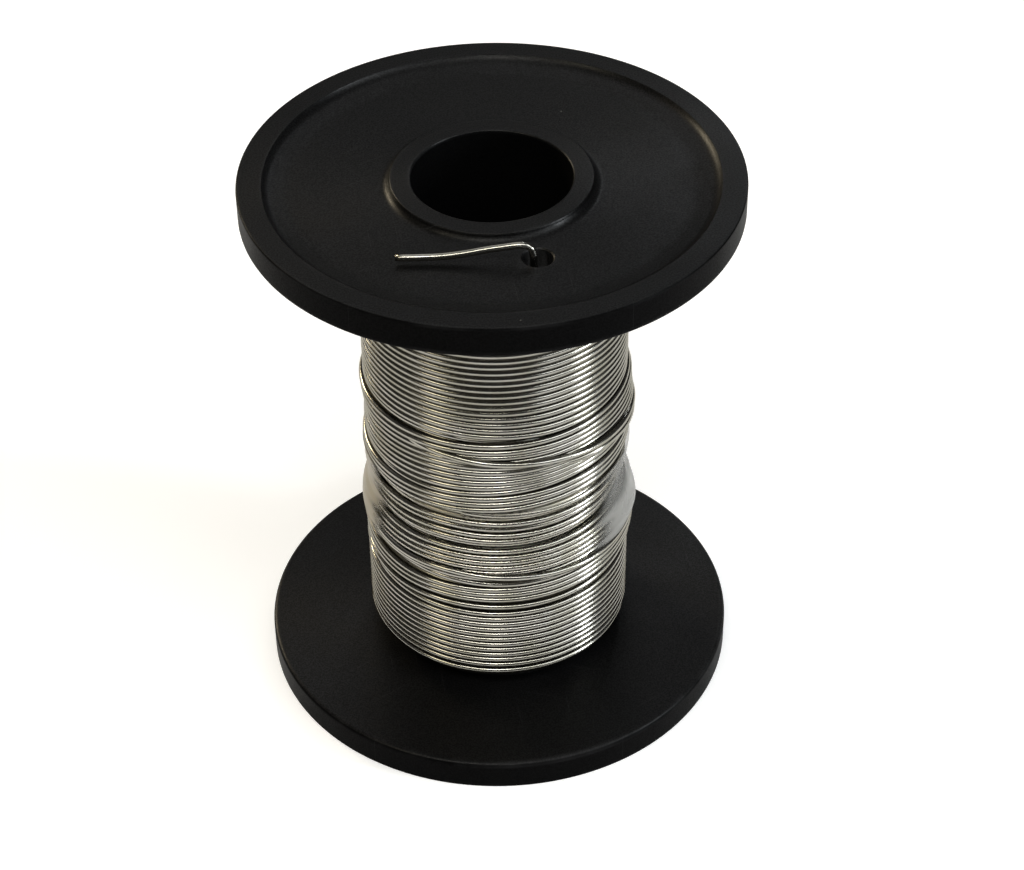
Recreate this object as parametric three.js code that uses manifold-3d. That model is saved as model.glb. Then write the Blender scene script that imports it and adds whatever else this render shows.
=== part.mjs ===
// Solder wire spool: a black moulded spool that holds a winding of solder wire.
// Millimetres, +Z up, origin at the centre of the face that the spool stands on.
import * as THREE from 'three';
import { mergeVertices } from 'three/addons/utils/BufferGeometryUtils.js';
import Module from 'manifold-3d';

const wasm = await Module();
wasm.setup();

// The spool
const spoolHeight = 60;
const flangeRadius = 25;
const flangeThickness = 3.3;
const rimWidth = 2.5;          // raised ring round the edge of each outer face
const webRecess = 0.8;         // how far the web lies below that ring and the hub
const boreRadius = 8;
const hubRadius = 10;
const hubGap = 0.4;            // between the two hub tubes where they meet inside the barrel
const barrelRadius = 12;
const fitGap = 0.1;            // between pieces that are pressed or wound onto each other
const innerEdgeRadius = 0.4;
const outerEdgeRadius = 0.15;
const rimFillet = 2.2;         // hollow fillet that leads from the rim down to the web
const hubFillet = 1.3;         // the same round the hub's boss
const hubLeadIn = 0.6;
const roundSegments = 64;

// The hole that the wire's starting end comes out of
const wireHoleRadius = 1.5;
const wireHoleDistance = 13.54;
const wireHoleAzimuth = THREE.MathUtils.degToRad(-71.9);

// The wire
const wireDiameter = 0.71;
const loopCount = 24;
const stepsPerLoop = 24;
const wireSides = 6;
const firstTurnHeight = 55.3;
const lastTurnHeight = 6.1;
const startBendRadius = 0.9;
const startBendSteps = 4;
const wireStart = new THREE.Vector2(3.8, -13.3); // where the wire passes down through the hole
const tailSteps = 26;

// The wire's free starting end from its cut tip: x, y and height above the rim
const tailStations = [
  [-9.2, -13.5, -0.03], [-7.2, -13.5, -0.03], [-4.9, -13.5, 0], [-2.6, -13.42, 0.22],
  [-0.6, -13.36, 0.55], [1.7, -13.32, 0.85], [2.9, -13.3, 0.93], [3.6, -13.3, 0.5], [3.8, -13.3, -0.3],
];

// Outer radius of the winding at heights up the barrel: a waist where the tape is drawn tight
const windingProfile = [
  [5.3, 13.95], [14, 14], [16.5, 14.15], [18.3, 14.15], [21.5, 13.4], [24, 13.2],
  [26.5, 13.4], [29.5, 13.9], [33, 14.1], [38, 13.85], [44, 13.7], [56.2, 13.7],
];

// The clear tape band, outer radius at heights
const tapeThickness = 0.2;
const tapeProfile = [
  [19.2, 14.4], [20, 14.35], [21, 14.15], [22.5, 13.7], [24, 13.5], [26, 13.65], [28.4, 14.1],
];

const materials = {
  plastic: new THREE.MeshStandardMaterial({ color: 0x1e1e1e, roughness: 0.45, metalness: 0 }),
  barrel: new THREE.MeshStandardMaterial({ color: 0x1a1a1a, roughness: 0.5, metalness: 0 }),
  wire: new THREE.MeshStandardMaterial({ color: 0xc9c6bd, roughness: 0.28, metalness: 1 }),
  underWire: new THREE.MeshStandardMaterial({ color: 0x8f8c84, roughness: 0.4, metalness: 1 }),
  tape: new THREE.MeshStandardMaterial({
    color: 0xd8d6cf,
    roughness: 0.2,
    metalness: 0,
    transparent: true,
    opacity: 0.3,
  }),
};

function toManifold(geometry) {
  geometry.deleteAttribute('normal');
  geometry.deleteAttribute('uv');
  const merged = mergeVertices(geometry, 1e-4);
  return new wasm.Manifold(new wasm.Mesh({
    numProp: 3,
    vertProperties: merged.attributes.position.array,
    triVerts: Uint32Array.from(merged.index.array),
  }));
}

function fromManifold(manifold) {
  const mesh = manifold.getMesh();
  const geometry = new THREE.BufferGeometry();
  geometry.setAttribute('position', new THREE.BufferAttribute(mesh.vertProperties, 3));
  geometry.setIndex(new THREE.BufferAttribute(mesh.triVerts, 1));
  geometry.computeVertexNormals();
  return geometry;
}

// Turns a closed outline of (radius, height) points round the spool's axis.
function turned(outline, segments = roundSegments) {
  return new THREE.LatheGeometry(outline, segments).rotateX(Math.PI / 2);
}

function ring(innerRadius, outerRadius, low, high) {
  return turned([
    new THREE.Vector2(innerRadius, low),
    new THREE.Vector2(outerRadius, low),
    new THREE.Vector2(outerRadius, high),
    new THREE.Vector2(innerRadius, high),
    new THREE.Vector2(innerRadius, low),
  ]);
}

// A flange in its own frame: inner face at height 0, outer face up, hub tube running down.
function flangeOutline() {
  const quarter = Math.PI / 2;
  const hubLength = spoolHeight / 2 - flangeThickness - hubGap / 2;
  const webHeight = flangeThickness - webRecess;
  const rimInner = flangeRadius - rimWidth;
  const edge = flangeRadius - innerEdgeRadius;
  const rimTurn = Math.acos(1 - webRecess / rimFillet);
  const hubTurn = Math.acos(1 - webRecess / hubFillet);
  const rimFoot = rimInner - rimFillet * Math.sin(rimTurn);
  const hubFoot = hubRadius + hubFillet * Math.sin(hubTurn);
  const outline = new THREE.Path();
  outline.moveTo(boreRadius, -hubLength);
  outline.lineTo(hubRadius - hubLeadIn / 2, -hubLength);
  outline.lineTo(hubRadius, -hubLength + hubLeadIn);
  outline.lineTo(hubRadius, 0);
  outline.lineTo(edge, 0);
  outline.absarc(edge, innerEdgeRadius, innerEdgeRadius, -quarter, 0, false);
  outline.lineTo(flangeRadius, flangeThickness - outerEdgeRadius);
  outline.lineTo(flangeRadius - outerEdgeRadius, flangeThickness);
  outline.lineTo(rimInner, flangeThickness);
  outline.absarc(rimFoot, webHeight + rimFillet, rimFillet, rimTurn - quarter, -quarter, true);
  outline.lineTo(hubFoot, webHeight);
  outline.absarc(hubFoot, webHeight + hubFillet, hubFillet, -quarter, -quarter - hubTurn, true);
  outline.lineTo(boreRadius + outerEdgeRadius, flangeThickness);
  outline.lineTo(boreRadius, flangeThickness - outerEdgeRadius);
  outline.lineTo(boreRadius, -hubLength);
  return outline.getPoints(1);
}

// One moulding serves at both ends: a disc with a raised rim and a hub tube, and a wire hole.
function flangeGeometry() {
  const wireHole = new THREE.CylinderGeometry(wireHoleRadius, wireHoleRadius, 3 * flangeThickness, 20);
  wireHole.rotateX(Math.PI / 2);
  wireHole.translate(
    wireHoleDistance * Math.cos(wireHoleAzimuth),
    wireHoleDistance * Math.sin(wireHoleAzimuth),
    flangeThickness / 2,
  );
  return fromManifold(toManifold(turned(flangeOutline())).subtract(toManifold(wireHole)));
}

function upperFlange() {
  const mesh = new THREE.Mesh(flangeGeometry(), materials.plastic);
  mesh.position.z = spoolHeight - flangeThickness;
  return mesh;
}

function lowerFlange() {
  const mesh = new THREE.Mesh(flangeGeometry(), materials.plastic);
  mesh.position.z = flangeThickness;
  mesh.rotation.x = Math.PI;
  return mesh;
}

// The tube that the wire is wound on, pressed over both hub tubes.
function barrel() {
  const low = flangeThickness + fitGap;
  const high = spoolHeight - flangeThickness - fitGap;
  return new THREE.Mesh(ring(hubRadius + fitGap, barrelRadius, low, high), materials.barrel);
}

// Radius read from a profile of [height, radius] stations, eased between them.
function radiusAt(profile, height) {
  const next = profile.findIndex(([stationHeight]) => stationHeight >= height);
  if (next === 0) return profile[0][1];
  if (next < 0) return profile[profile.length - 1][1];
  const [lowHeight, lowRadius] = profile[next - 1];
  const [highHeight, highRadius] = profile[next];
  const share = THREE.MathUtils.smoothstep(height, lowHeight, highHeight);
  return THREE.MathUtils.lerp(lowRadius, highRadius, share);
}

// A flat side of each hexagonal wire faces the core, and a loop's straight steps cut inside its circle.
const wireHalfDepth = 0.5 * wireDiameter * Math.cos(Math.PI / wireSides);
const stepSag = Math.cos(Math.PI / stepsPerLoop);

function coreRadiusAt(height) {
  const wireRadius = radiusAt(windingProfile, height) - wireHalfDepth;
  return wireRadius * stepSag - wireHalfDepth - fitGap;
}

// The layers of wire beneath the outer one, as one plain ring that is wound onto the barrel.
function innerWindings() {
  const outline = [new THREE.Vector2(barrelRadius + fitGap, windingProfile[0][0])];
  for (const [height] of windingProfile) {
    outline.push(new THREE.Vector2(coreRadiusAt(height), height));
  }
  outline.push(new THREE.Vector2(barrelRadius + fitGap, windingProfile[windingProfile.length - 1][0]));
  outline.push(outline[0].clone());
  return new THREE.Mesh(turned(outline), materials.underWire);
}

// Starting end of the wire, from its cut tip over the flange and down into the hole.
function tailPoints() {
  const stations = tailStations.map(([x, y, height]) => new THREE.Vector3(x, y, spoolHeight + height));
  stations.push(new THREE.Vector3(wireStart.x, wireStart.y, firstTurnHeight + startBendRadius));
  return new THREE.CatmullRomCurve3(stations, false, 'centripetal').getSpacedPoints(tailSteps);
}

function pointAt(azimuth, radius, height) {
  return new THREE.Vector3(radius * Math.cos(azimuth), radius * Math.sin(azimuth), height);
}

// Bend inside the flange, from straight down to running round the barrel, then the outer layer.
function turnPoints() {
  const points = [];
  const startAzimuth = wireStart.angle();
  const startRadius = wireStart.length();
  const bendAngle = startBendRadius / startRadius;
  for (let step = 1; step <= startBendSteps; step += 1) {
    const turn = (step / startBendSteps) * (Math.PI / 2);
    const azimuth = startAzimuth + bendAngle * (1 - Math.cos(turn));
    const height = firstTurnHeight + startBendRadius * (1 - Math.sin(turn));
    points.push(pointAt(azimuth, startRadius, height));
  }
  const pitch = (firstTurnHeight - lastTurnHeight) / loopCount;
  const stepCount = loopCount * stepsPerLoop - stepsPerLoop / 2;
  for (let step = 1; step <= stepCount; step += 1) {
    const azimuth = startAzimuth + bendAngle + (step / stepsPerLoop) * 2 * Math.PI;
    const height = firstTurnHeight - pitch * (step / stepsPerLoop);
    const settled = Math.min(step / (stepsPerLoop / 4), 1);
    const layerRadius = radiusAt(windingProfile, height) - wireHalfDepth;
    const radius = THREE.MathUtils.lerp(startRadius, layerRadius, settled);
    points.push(pointAt(azimuth, radius, height));
  }
  const last = points[points.length - 1];
  const along = new THREE.Vector3(-last.y, last.x, 0).normalize();
  points.push(last.clone().addScaledVector(along, wireDiameter));
  return points;
}

// A closed tube round a line of points; each ring has one flat side facing the spool's axis.
function tubeGeometry(points, radius, sides) {
  const vertices = [];
  const faces = [];
  points.forEach((point, index) => {
    const before = points[Math.max(index - 1, 0)];
    const after = points[Math.min(index + 1, points.length - 1)];
    const along = after.clone().sub(before).normalize();
    const outward = new THREE.Vector3(point.x, point.y, 0).normalize();
    outward.addScaledVector(along, -outward.dot(along)).normalize();
    const across = along.clone().cross(outward);
    for (let side = 0; side < sides; side += 1) {
      const angle = ((side + 0.5) / sides) * 2 * Math.PI;
      const vertex = point.clone();
      vertex.addScaledVector(outward, radius * Math.cos(angle));
      vertex.addScaledVector(across, radius * Math.sin(angle));
      vertices.push(vertex.x, vertex.y, vertex.z);
      if (index === 0) continue;
      const next = (side + 1) % sides;
      const here = index * sides;
      const back = here - sides;
      faces.push(back + side, back + next, here + side);
      faces.push(back + next, here + next, here + side);
    }
  });
  const lastRing = (points.length - 1) * sides;
  for (let side = 1; side < sides - 1; side += 1) {
    faces.push(0, side + 1, side);
    faces.push(lastRing, lastRing + side, lastRing + side + 1);
  }
  const geometry = new THREE.BufferGeometry();
  geometry.setAttribute('position', new THREE.Float32BufferAttribute(vertices, 3));
  geometry.setIndex(faces);
  geometry.computeVertexNormals();
  return geometry;
}

// Least distance between surfaces of stretches that are further apart along the wire than half a loop.
function leastGap(points) {
  let least = Infinity;
  const apart = stepsPerLoop / 2;
  for (let first = 0; first < points.length; first += 1) {
    for (let second = first + apart; second < points.length; second += 1) {
      least = Math.min(least, points[first].distanceTo(points[second]));
    }
  }
  return least - wireDiameter;
}

// One unbroken wire: the free starting end, the hole's bend and the outer layer of turns.
function solderWire() {
  const points = [...tailPoints(), ...turnPoints()];
  console.log(`least gap of the wire to itself: ${leastGap(points).toFixed(2)} mm`);
  return new THREE.Mesh(tubeGeometry(points, wireDiameter / 2, wireSides), materials.wire);
}

// The clear tape drawn round the middle of the winding, which keeps the turns in place.
function clearTape() {
  const outside = tapeProfile.map(([height, radius]) => new THREE.Vector2(radius, height));
  const inside = tapeProfile.map(([height, radius]) => new THREE.Vector2(radius - tapeThickness, height));
  const outline = [...outside, ...inside.reverse(), outside[0].clone()];
  return new THREE.Mesh(turned(outline), materials.tape);
}

const pieces = {
  upper_flange: upperFlange(),
  lower_flange: lowerFlange(),
  barrel: barrel(),
  inner_windings: innerWindings(),
  solder_wire: solderWire(),
  clear_tape: clearTape(),
};

const spool = new THREE.Group();
for (const [name, piece] of Object.entries(pieces)) {
  piece.name = name;
  spool.add(piece);
}

export default spool;
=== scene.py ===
# Solder wire spool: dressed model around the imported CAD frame. Metres, +Z up, standing on z = 0.
import math

import bmesh
import bpy
import numpy as np
from mathutils import Matrix, Vector


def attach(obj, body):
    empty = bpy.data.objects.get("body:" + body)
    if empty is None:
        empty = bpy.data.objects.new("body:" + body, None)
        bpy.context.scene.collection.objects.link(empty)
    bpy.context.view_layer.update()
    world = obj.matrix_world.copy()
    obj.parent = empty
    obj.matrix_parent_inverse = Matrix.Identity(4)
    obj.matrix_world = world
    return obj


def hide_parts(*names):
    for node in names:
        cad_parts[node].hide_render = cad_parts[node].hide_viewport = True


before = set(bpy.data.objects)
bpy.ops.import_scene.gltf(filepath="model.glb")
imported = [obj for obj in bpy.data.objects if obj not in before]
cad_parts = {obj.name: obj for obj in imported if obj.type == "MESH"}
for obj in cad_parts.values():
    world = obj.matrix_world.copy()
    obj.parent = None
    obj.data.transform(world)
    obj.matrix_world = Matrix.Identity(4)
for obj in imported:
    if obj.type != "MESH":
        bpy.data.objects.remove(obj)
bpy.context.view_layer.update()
scene = bpy.context.scene
mm = 0.001
turn = 2 * math.pi


# camera
cameraSettings = {
    "place": (0.0, -0.21501, 0.20325),
    "pitch": 39.322,      # degrees down
    "yaw": 0.442,
    "roll": 0.696,
    "lens": 92.57,
}


def makeCamera(settings):
    # forward from yaw and pitch, right = forward x up, then both turned by the roll
    pitch, yaw, roll = (math.radians(settings[key]) for key in ("pitch", "yaw", "roll"))
    forward = Vector((
        math.sin(yaw) * math.cos(pitch), math.cos(yaw) * math.cos(pitch), -math.sin(pitch)))
    right = forward.cross(Vector((0, 0, 1))).normalized()
    up = right.cross(forward)
    turnedRight = math.cos(roll) * right - math.sin(roll) * up
    turnedUp = math.sin(roll) * right + math.cos(roll) * up
    data = bpy.data.cameras.new("camera")
    data.lens = settings["lens"]
    data.sensor_width = 36
    data.clip_start = 0.01
    camera = bpy.data.objects.new("camera", data)
    scene.collection.objects.link(camera)
    axes = Matrix((turnedRight, turnedUp, -forward)).transposed()
    camera.matrix_world = Matrix.Translation(settings["place"]) @ axes.to_4x4()
    scene.camera = camera


makeCamera(cameraSettings)
print("camera placed")


# node helpers
def addNode(tree, kind, inputs=None, **settings):
    node = tree.nodes.new(kind)
    for key, value in settings.items():
        setattr(node, key, value)
    for key, value in (inputs or {}).items():
        if isinstance(value, bpy.types.NodeSocket):
            tree.links.new(value, node.inputs[key])
        else:
            node.inputs[key].default_value = value
    return node


def mathNode(tree, operation, first, second=0.0, third=None, clamp=False):
    inputs = {0: first, 1: second}
    if third is not None:
        inputs[2] = third
    return addNode(tree, "ShaderNodeMath", inputs, operation=operation, use_clamp=clamp).outputs[0]


def rampNode(tree, value, low, high, toLow=0.0, toHigh=1.0):
    # value between low and high, eased onto toLow to toHigh
    node = addNode(tree, "ShaderNodeMapRange", {
        "Value": value, "From Min": low, "From Max": high, "To Min": toLow, "To Max": toHigh,
    }, interpolation_type="SMOOTHSTEP")
    return node.outputs["Result"]


def noiseNode(tree, vector, scale, detail=2.0, roughness=0.5, **settings):
    return addNode(tree, "ShaderNodeTexNoise", {
        "Vector": vector, "Scale": scale, "Detail": detail, "Roughness": roughness,
    }, **settings).outputs["Fac"]


def mixColor(tree, share, first, second):
    node = addNode(tree, "ShaderNodeMix", data_type="RGBA")
    for index, value in ((0, share), (6, first), (7, second)):
        if isinstance(value, bpy.types.NodeSocket):
            tree.links.new(value, node.inputs[index])
        else:
            node.inputs[index].default_value = value
    return node.outputs[2]


def newGroup(name, inputs, outputs):
    group = bpy.data.node_groups.new(name, "ShaderNodeTree")
    for socketName, default in inputs:
        socket = group.interface.new_socket(
            socketName, in_out="INPUT", socket_type="NodeSocketFloat")
        socket.default_value = default
    for socketName in outputs:
        group.interface.new_socket(socketName, in_out="OUTPUT", socket_type="NodeSocketFloat")
    return group, group.nodes.new("NodeGroupInput"), group.nodes.new("NodeGroupOutput")


def useGroup(tree, group, **values):
    node = tree.nodes.new("ShaderNodeGroup")
    node.node_tree = group
    for key, value in values.items():
        node.inputs[key].default_value = value
    return node.outputs


def newMaterial(name, **constants):
    # constants go straight onto the shader's own sockets
    material = bpy.data.materials.new(name)
    material.use_nodes = True
    tree = material.node_tree
    shader = tree.nodes["Principled BSDF"]
    for key, value in constants.items():
        shader.inputs[key.replace("_", " ")].default_value = value
    return material, tree, shader


# shared effects
def makeRingGrain():
    # fine rings left by the turned mould: noise read along the distance from the axis
    group, given, result = newGroup("ringGrain", [("Spacing", 5200.0)], ["Height"])
    place = addNode(group, "ShaderNodeTexCoord").outputs["Object"]
    parts = addNode(group, "ShaderNodeSeparateXYZ", {0: place}).outputs
    flat = addNode(group, "ShaderNodeCombineXYZ", {"X": parts["X"], "Y": parts["Y"]}).outputs[0]
    distance = addNode(
        group, "ShaderNodeVectorMath", {0: flat}, operation="LENGTH").outputs["Value"]
    rings = addNode(group, "ShaderNodeTexNoise", {
        "W": distance, "Scale": given.outputs["Spacing"], "Detail": 3.0, "Roughness": 0.65,
    }, noise_dimensions="1D").outputs["Fac"]
    group.links.new(rings, result.inputs["Height"])
    return group


def makeFineGrain():
    # slight orange peel and a finer sparkle of the moulded surface
    group, _, result = newGroup("fineGrain", [], ["Height", "Patches", "Speckle"])
    place = addNode(group, "ShaderNodeTexCoord").outputs["Object"]
    fine = noiseNode(group, place, 5200.0, 2.0, 0.6)
    peel = noiseNode(group, place, 900.0, 1.0)
    both = mathNode(group, "MULTIPLY_ADD", peel, 0.6, fine)
    group.links.new(both, result.inputs["Height"])
    group.links.new(noiseNode(group, place, 120.0, 3.0, 0.6), result.inputs["Patches"])
    group.links.new(noiseNode(group, place, 6000.0, 1.0), result.inputs["Speckle"])
    return group


def makeDust():
    # sparse specks: the middles of a few scattered cells
    group, given, result = newGroup("dust", [("Amount", 0.02), ("Speck", 0.04)], ["Mask"])
    place = addNode(group, "ShaderNodeTexCoord").outputs["Object"]
    cells = addNode(group, "ShaderNodeTexVoronoi", {"Vector": place, "Scale": 420.0})
    near = mathNode(group, "LESS_THAN", cells.outputs["Distance"], given.outputs["Speck"])
    pick = addNode(group, "ShaderNodeSeparateColor", {0: cells.outputs["Color"]}).outputs[0]
    chosen = mathNode(group, "LESS_THAN", pick, given.outputs["Amount"])
    group.links.new(mathNode(group, "MULTIPLY", near, chosen), result.inputs["Mask"])
    return group


def makeScratches():
    # straight hairlines: rows are cut into cells, a few cells hold one line that tapers to its ends
    group, given, result = newGroup(
        "scratches", [("Turned", 0.6), ("Amount", 0.1), ("Width", 0.016)], ["Mask"])
    place = addNode(group, "ShaderNodeTexCoord").outputs["Object"]
    axis = addNode(group, "ShaderNodeVectorRotate", {
        "Vector": place, "Angle": given.outputs["Turned"]}, rotation_type="Z_AXIS").outputs[0]
    parts = addNode(group, "ShaderNodeSeparateXYZ", {0: axis}).outputs
    across = mathNode(group, "MULTIPLY", parts["Y"], 380.0)
    row = mathNode(group, "FLOOR", across)
    shift = addNode(
        group, "ShaderNodeTexWhiteNoise", {"W": row}, noise_dimensions="1D").outputs["Value"]
    along = mathNode(group, "MULTIPLY", parts["X"], 190.0)
    along = mathNode(group, "MULTIPLY_ADD", shift, 7.0, along)
    cell = addNode(group, "ShaderNodeCombineXYZ", {
        "X": mathNode(group, "FLOOR", along), "Y": row}).outputs[0]
    chance = addNode(
        group, "ShaderNodeTexWhiteNoise", {"Vector": cell}, noise_dimensions="2D").outputs
    chosen = mathNode(group, "LESS_THAN", chance["Value"], given.outputs["Amount"])
    colors = addNode(group, "ShaderNodeSeparateColor", {0: chance["Color"]}).outputs
    tilt = mathNode(group, "MULTIPLY_ADD", mathNode(group, "FRACT", along), 0.3, colors[0])
    middle = mathNode(group, "MULTIPLY_ADD", tilt, 0.5, 0.2)
    away = mathNode(group, "SUBTRACT", mathNode(group, "FRACT", across), middle)
    away = mathNode(group, "ABSOLUTE", away)
    ends = mathNode(group, "PINGPONG", along, 0.5)
    width = mathNode(group, "MULTIPLY", ends, given.outputs["Width"])
    line = mathNode(group, "LESS_THAN", away, width)
    group.links.new(mathNode(group, "MULTIPLY", line, chosen), result.inputs["Mask"])
    return group


ringGrain = makeRingGrain()
fineGrain = makeFineGrain()
dust = makeDust()
scratches = makeScratches()


def blackPlastic(name, color, shine, ringStrength):
    # moulded polystyrene: rings and grain in the bump, a sheen along the radius,
    # a few specks and hairlines
    material, tree, shader = newMaterial(name, Anisotropic=0.5, Anisotropic_Rotation=0.25)
    grain = useGroup(tree, fineGrain)
    rings = useGroup(tree, ringGrain)
    specks = useGroup(tree, dust)["Mask"]
    hairs = useGroup(tree, scratches, Turned=0.35)["Mask"]
    for turned in (1.5, 2.6):
        hairs = mathNode(tree, "MAXIMUM", hairs, useGroup(tree, scratches, Turned=turned)["Mask"])
    tangent = addNode(tree, "ShaderNodeTangent", direction_type="RADIAL", axis="Z").outputs[0]
    tree.links.new(tangent, shader.inputs["Tangent"])
    # the side wall and the bore are duller than the faces, and the grain breaks up the shine
    matte = addNode(tree, "ShaderNodeAttribute", attribute_name="matte").outputs["Fac"]
    level = mathNode(tree, "MULTIPLY_ADD", matte, -0.92 * shine, shine)
    level = mathNode(tree, "MULTIPLY", level, rampNode(tree, grain["Speckle"], 0.3, 0.7, 0.7, 1.3))
    tree.links.new(level, shader.inputs["Specular IOR Level"])
    wear = addNode(tree, "ShaderNodeAttribute", attribute_name="edgeShare").outputs["Fac"]
    worn = mathNode(tree, "MULTIPLY", wear, rampNode(tree, grain["Patches"], 0.42, 0.72))
    deep = [channel * 0.8 for channel in color] + [1]
    pale = [channel * 1.25 for channel in color] + [1]
    base = mixColor(tree, rampNode(tree, grain["Speckle"], 0.3, 0.7), deep, pale)
    base = mixColor(tree, mathNode(tree, "MULTIPLY", worn, 0.3), base, (0.03, 0.03, 0.031, 1))
    base = mixColor(tree, mathNode(tree, "MULTIPLY", hairs, 0.3), base, (0.05, 0.05, 0.052, 1))
    base = mixColor(tree, mathNode(tree, "MULTIPLY", specks, 0.6), base, (0.16, 0.16, 0.15, 1))
    tree.links.new(base, shader.inputs["Base Color"])
    rough = rampNode(tree, grain["Patches"], 0.25, 0.75, 0.34, 0.44)
    rough = mathNode(tree, "MULTIPLY_ADD", specks, 0.2, rough)
    tree.links.new(rough, shader.inputs["Roughness"])
    ringBump = addNode(tree, "ShaderNodeBump", {
        "Strength": ringStrength, "Distance": 0.00002, "Height": rings["Height"]})
    grainBump = addNode(tree, "ShaderNodeBump", {
        "Strength": 0.3, "Distance": 0.00002, "Height": grain["Height"],
        "Normal": ringBump.outputs[0]})
    tree.links.new(grainBump.outputs[0], shader.inputs["Normal"])
    return material


def solderMetal(name, color, roughLow, roughHigh, creviceShadeColor):
    # drawn solder: draw lines along the wire, soft dull patches, tiny pits and painted shade in the
    # creases
    material, tree, shader = newMaterial(name, Metallic=1.0)
    shader.inputs["Specular Tint"].default_value = (0.6, 0.59, 0.56, 1)
    along = addNode(tree, "ShaderNodeUVMap", uv_map="wire").outputs[0]
    place = addNode(tree, "ShaderNodeTexCoord").outputs["Object"]
    drawn = addNode(tree, "ShaderNodeMapping", {"Vector": along, "Scale": (120, 26, 1)}).outputs[0]
    drawLines = noiseNode(tree, drawn, 1.0, 2.0, 0.6)
    patches = noiseNode(tree, place, 260.0, 3.0, 0.6)
    pits = noiseNode(tree, place, 1500.0, 1.0, 0.5)
    dull = [channel * 0.8 for channel in color[:2]] + [color[2] * 0.74, 1]
    base = mixColor(tree, rampNode(tree, patches, 0.3, 0.68), dull, list(color) + [1])
    base = mixColor(tree, rampNode(tree, pits, 0.68, 0.78, 0.0, 0.2), base, (0.2, 0.19, 0.17, 1))
    # painted shade in the creases where the turns touch: both sides of the wire, a little more on
    # the upper side
    around = addNode(tree, "ShaderNodeSeparateXYZ", {0: along}).outputs["Y"]
    above = rampNode(tree, around, 0.35, 0.285, 0.0, 0.9)
    below = rampNode(tree, around, 0.43, 0.6, 0.0, 0.8)
    creaseShade = addNode(tree, "ShaderNodeAttribute", attribute_name="creaseShade").outputs["Fac"]
    creviceShade = mathNode(tree, "MULTIPLY", mathNode(tree, "MAXIMUM", above, below), creaseShade)
    base = mixColor(tree, creviceShade, base, creviceShadeColor)
    tree.links.new(base, shader.inputs["Base Color"])
    rough = rampNode(tree, patches, 0.3, 0.7, roughHigh, roughLow)
    rough = mathNode(tree, "MULTIPLY_ADD", drawLines, 0.08, rough)
    tree.links.new(rough, shader.inputs["Roughness"])
    lineBump = addNode(tree, "ShaderNodeBump", {
        "Strength": 0.05, "Distance": 0.00001, "Height": drawLines})
    tree.links.new(lineBump.outputs[0], shader.inputs["Normal"])
    return material


def clearFilm(name):
    # clear tape: unseen where it clings to the turns; where it stands off them at the sides,
    # a milky grey and beige skin is painted in place of its grazing reflection
    material, tree, shader = newMaterial(name, Specular_IOR_Level=0.35)
    place = addNode(tree, "ShaderNodeTexCoord").outputs["Object"]
    stretched = addNode(
        tree, "ShaderNodeMapping", {"Vector": place, "Scale": (1, 1, 2.6)}).outputs[0]
    cloud = noiseNode(tree, stretched, 150.0, 2.0, 0.5)
    standOffSheen = addNode(tree, "ShaderNodeAttribute", attribute_name="standOffSheen").outputs["Fac"]
    warm = addNode(tree, "ShaderNodeAttribute", attribute_name="warm").outputs["Fac"]
    tree.links.new(rampNode(tree, standOffSheen, 0.15, 0.95, 0.0, 0.78), shader.inputs["Alpha"])
    gray = mixColor(tree, cloud, (0.27, 0.265, 0.25, 1), (0.36, 0.355, 0.33, 1))
    beige = mixColor(tree, cloud, (0.3, 0.265, 0.19, 1), (0.5, 0.45, 0.34, 1))
    tree.links.new(mixColor(tree, warm, gray, beige), shader.inputs["Base Color"])
    rough = rampNode(tree, cloud, 0.3, 0.7, 0.26, 0.36)
    tree.links.new(rough, shader.inputs["Roughness"])
    return material


flangePlastic = blackPlastic("flangePlastic", (0.0024, 0.0024, 0.0025), 0.175, 0.35)
barrelPlastic = blackPlastic("barrelPlastic", (0.005, 0.005, 0.005), 0.15, 0.0)
# colours of the painted shade in the creases between turns; the paler one is for the wire under the
# tape
darkCreviceShade = (0.075, 0.071, 0.062, 1)
milkyCreviceShade = (0.15, 0.145, 0.125, 1)
brightSolder = solderMetal("brightSolder", (0.4, 0.388, 0.355), 0.11, 0.18, darkCreviceShade)
tapedSolder = solderMetal("tapedSolder", (0.4, 0.385, 0.35), 0.13, 0.2, milkyCreviceShade)
# the layer beneath lies in shade: its own rougher copy is painted a touch paler, a painted lift of
# that shade
shadedSolder = solderMetal("shadedSolder", (0.42, 0.4, 0.35), 0.2, 0.28, darkCreviceShade)
tapeFilm = clearFilm("tapeFilm")
print("materials made")


# shape helpers
def meshObject(name, points, faces, material, sharpAngle=None, shares=None, uv=None):
    mesh = bpy.data.meshes.new(name)
    mesh.from_pydata(points.tolist(), [], faces)
    mesh.update()
    mesh.polygons.foreach_set("use_smooth", np.ones(len(faces), bool))
    for key, values in (shares or {}).items():
        attribute = mesh.attributes.new(key, "FLOAT", "POINT")
        attribute.data.foreach_set("value", values.astype(np.float32).ravel())
    if uv is not None:
        layer = mesh.uv_layers.new(name=uv[0])
        flat = np.zeros((len(mesh.loops), 2), np.float32)
        flat[:len(uv[1])] = uv[1]
        layer.data.foreach_set("uv", flat.ravel())
    if sharpAngle is not None:
        mesh.set_sharp_from_angle(angle=math.radians(sharpAngle))
    mesh.materials.append(material)
    piece = bpy.data.objects.new(name, mesh)
    scene.collection.objects.link(piece)
    return piece


def gridQuads(rows, columns, wrapRows=False, wrapColumns=True):
    # joins each point of a rows x columns grid to the next row and column
    index = np.arange(rows * columns).reshape(rows, columns)
    if wrapRows:
        index = np.vstack([index, index[:1]])
    if wrapColumns:
        index = np.hstack([index, index[:, :1]])
    return np.stack([index[:-1, :-1], index[:-1, 1:], index[1:, 1:], index[1:, :-1]], -1)


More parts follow.
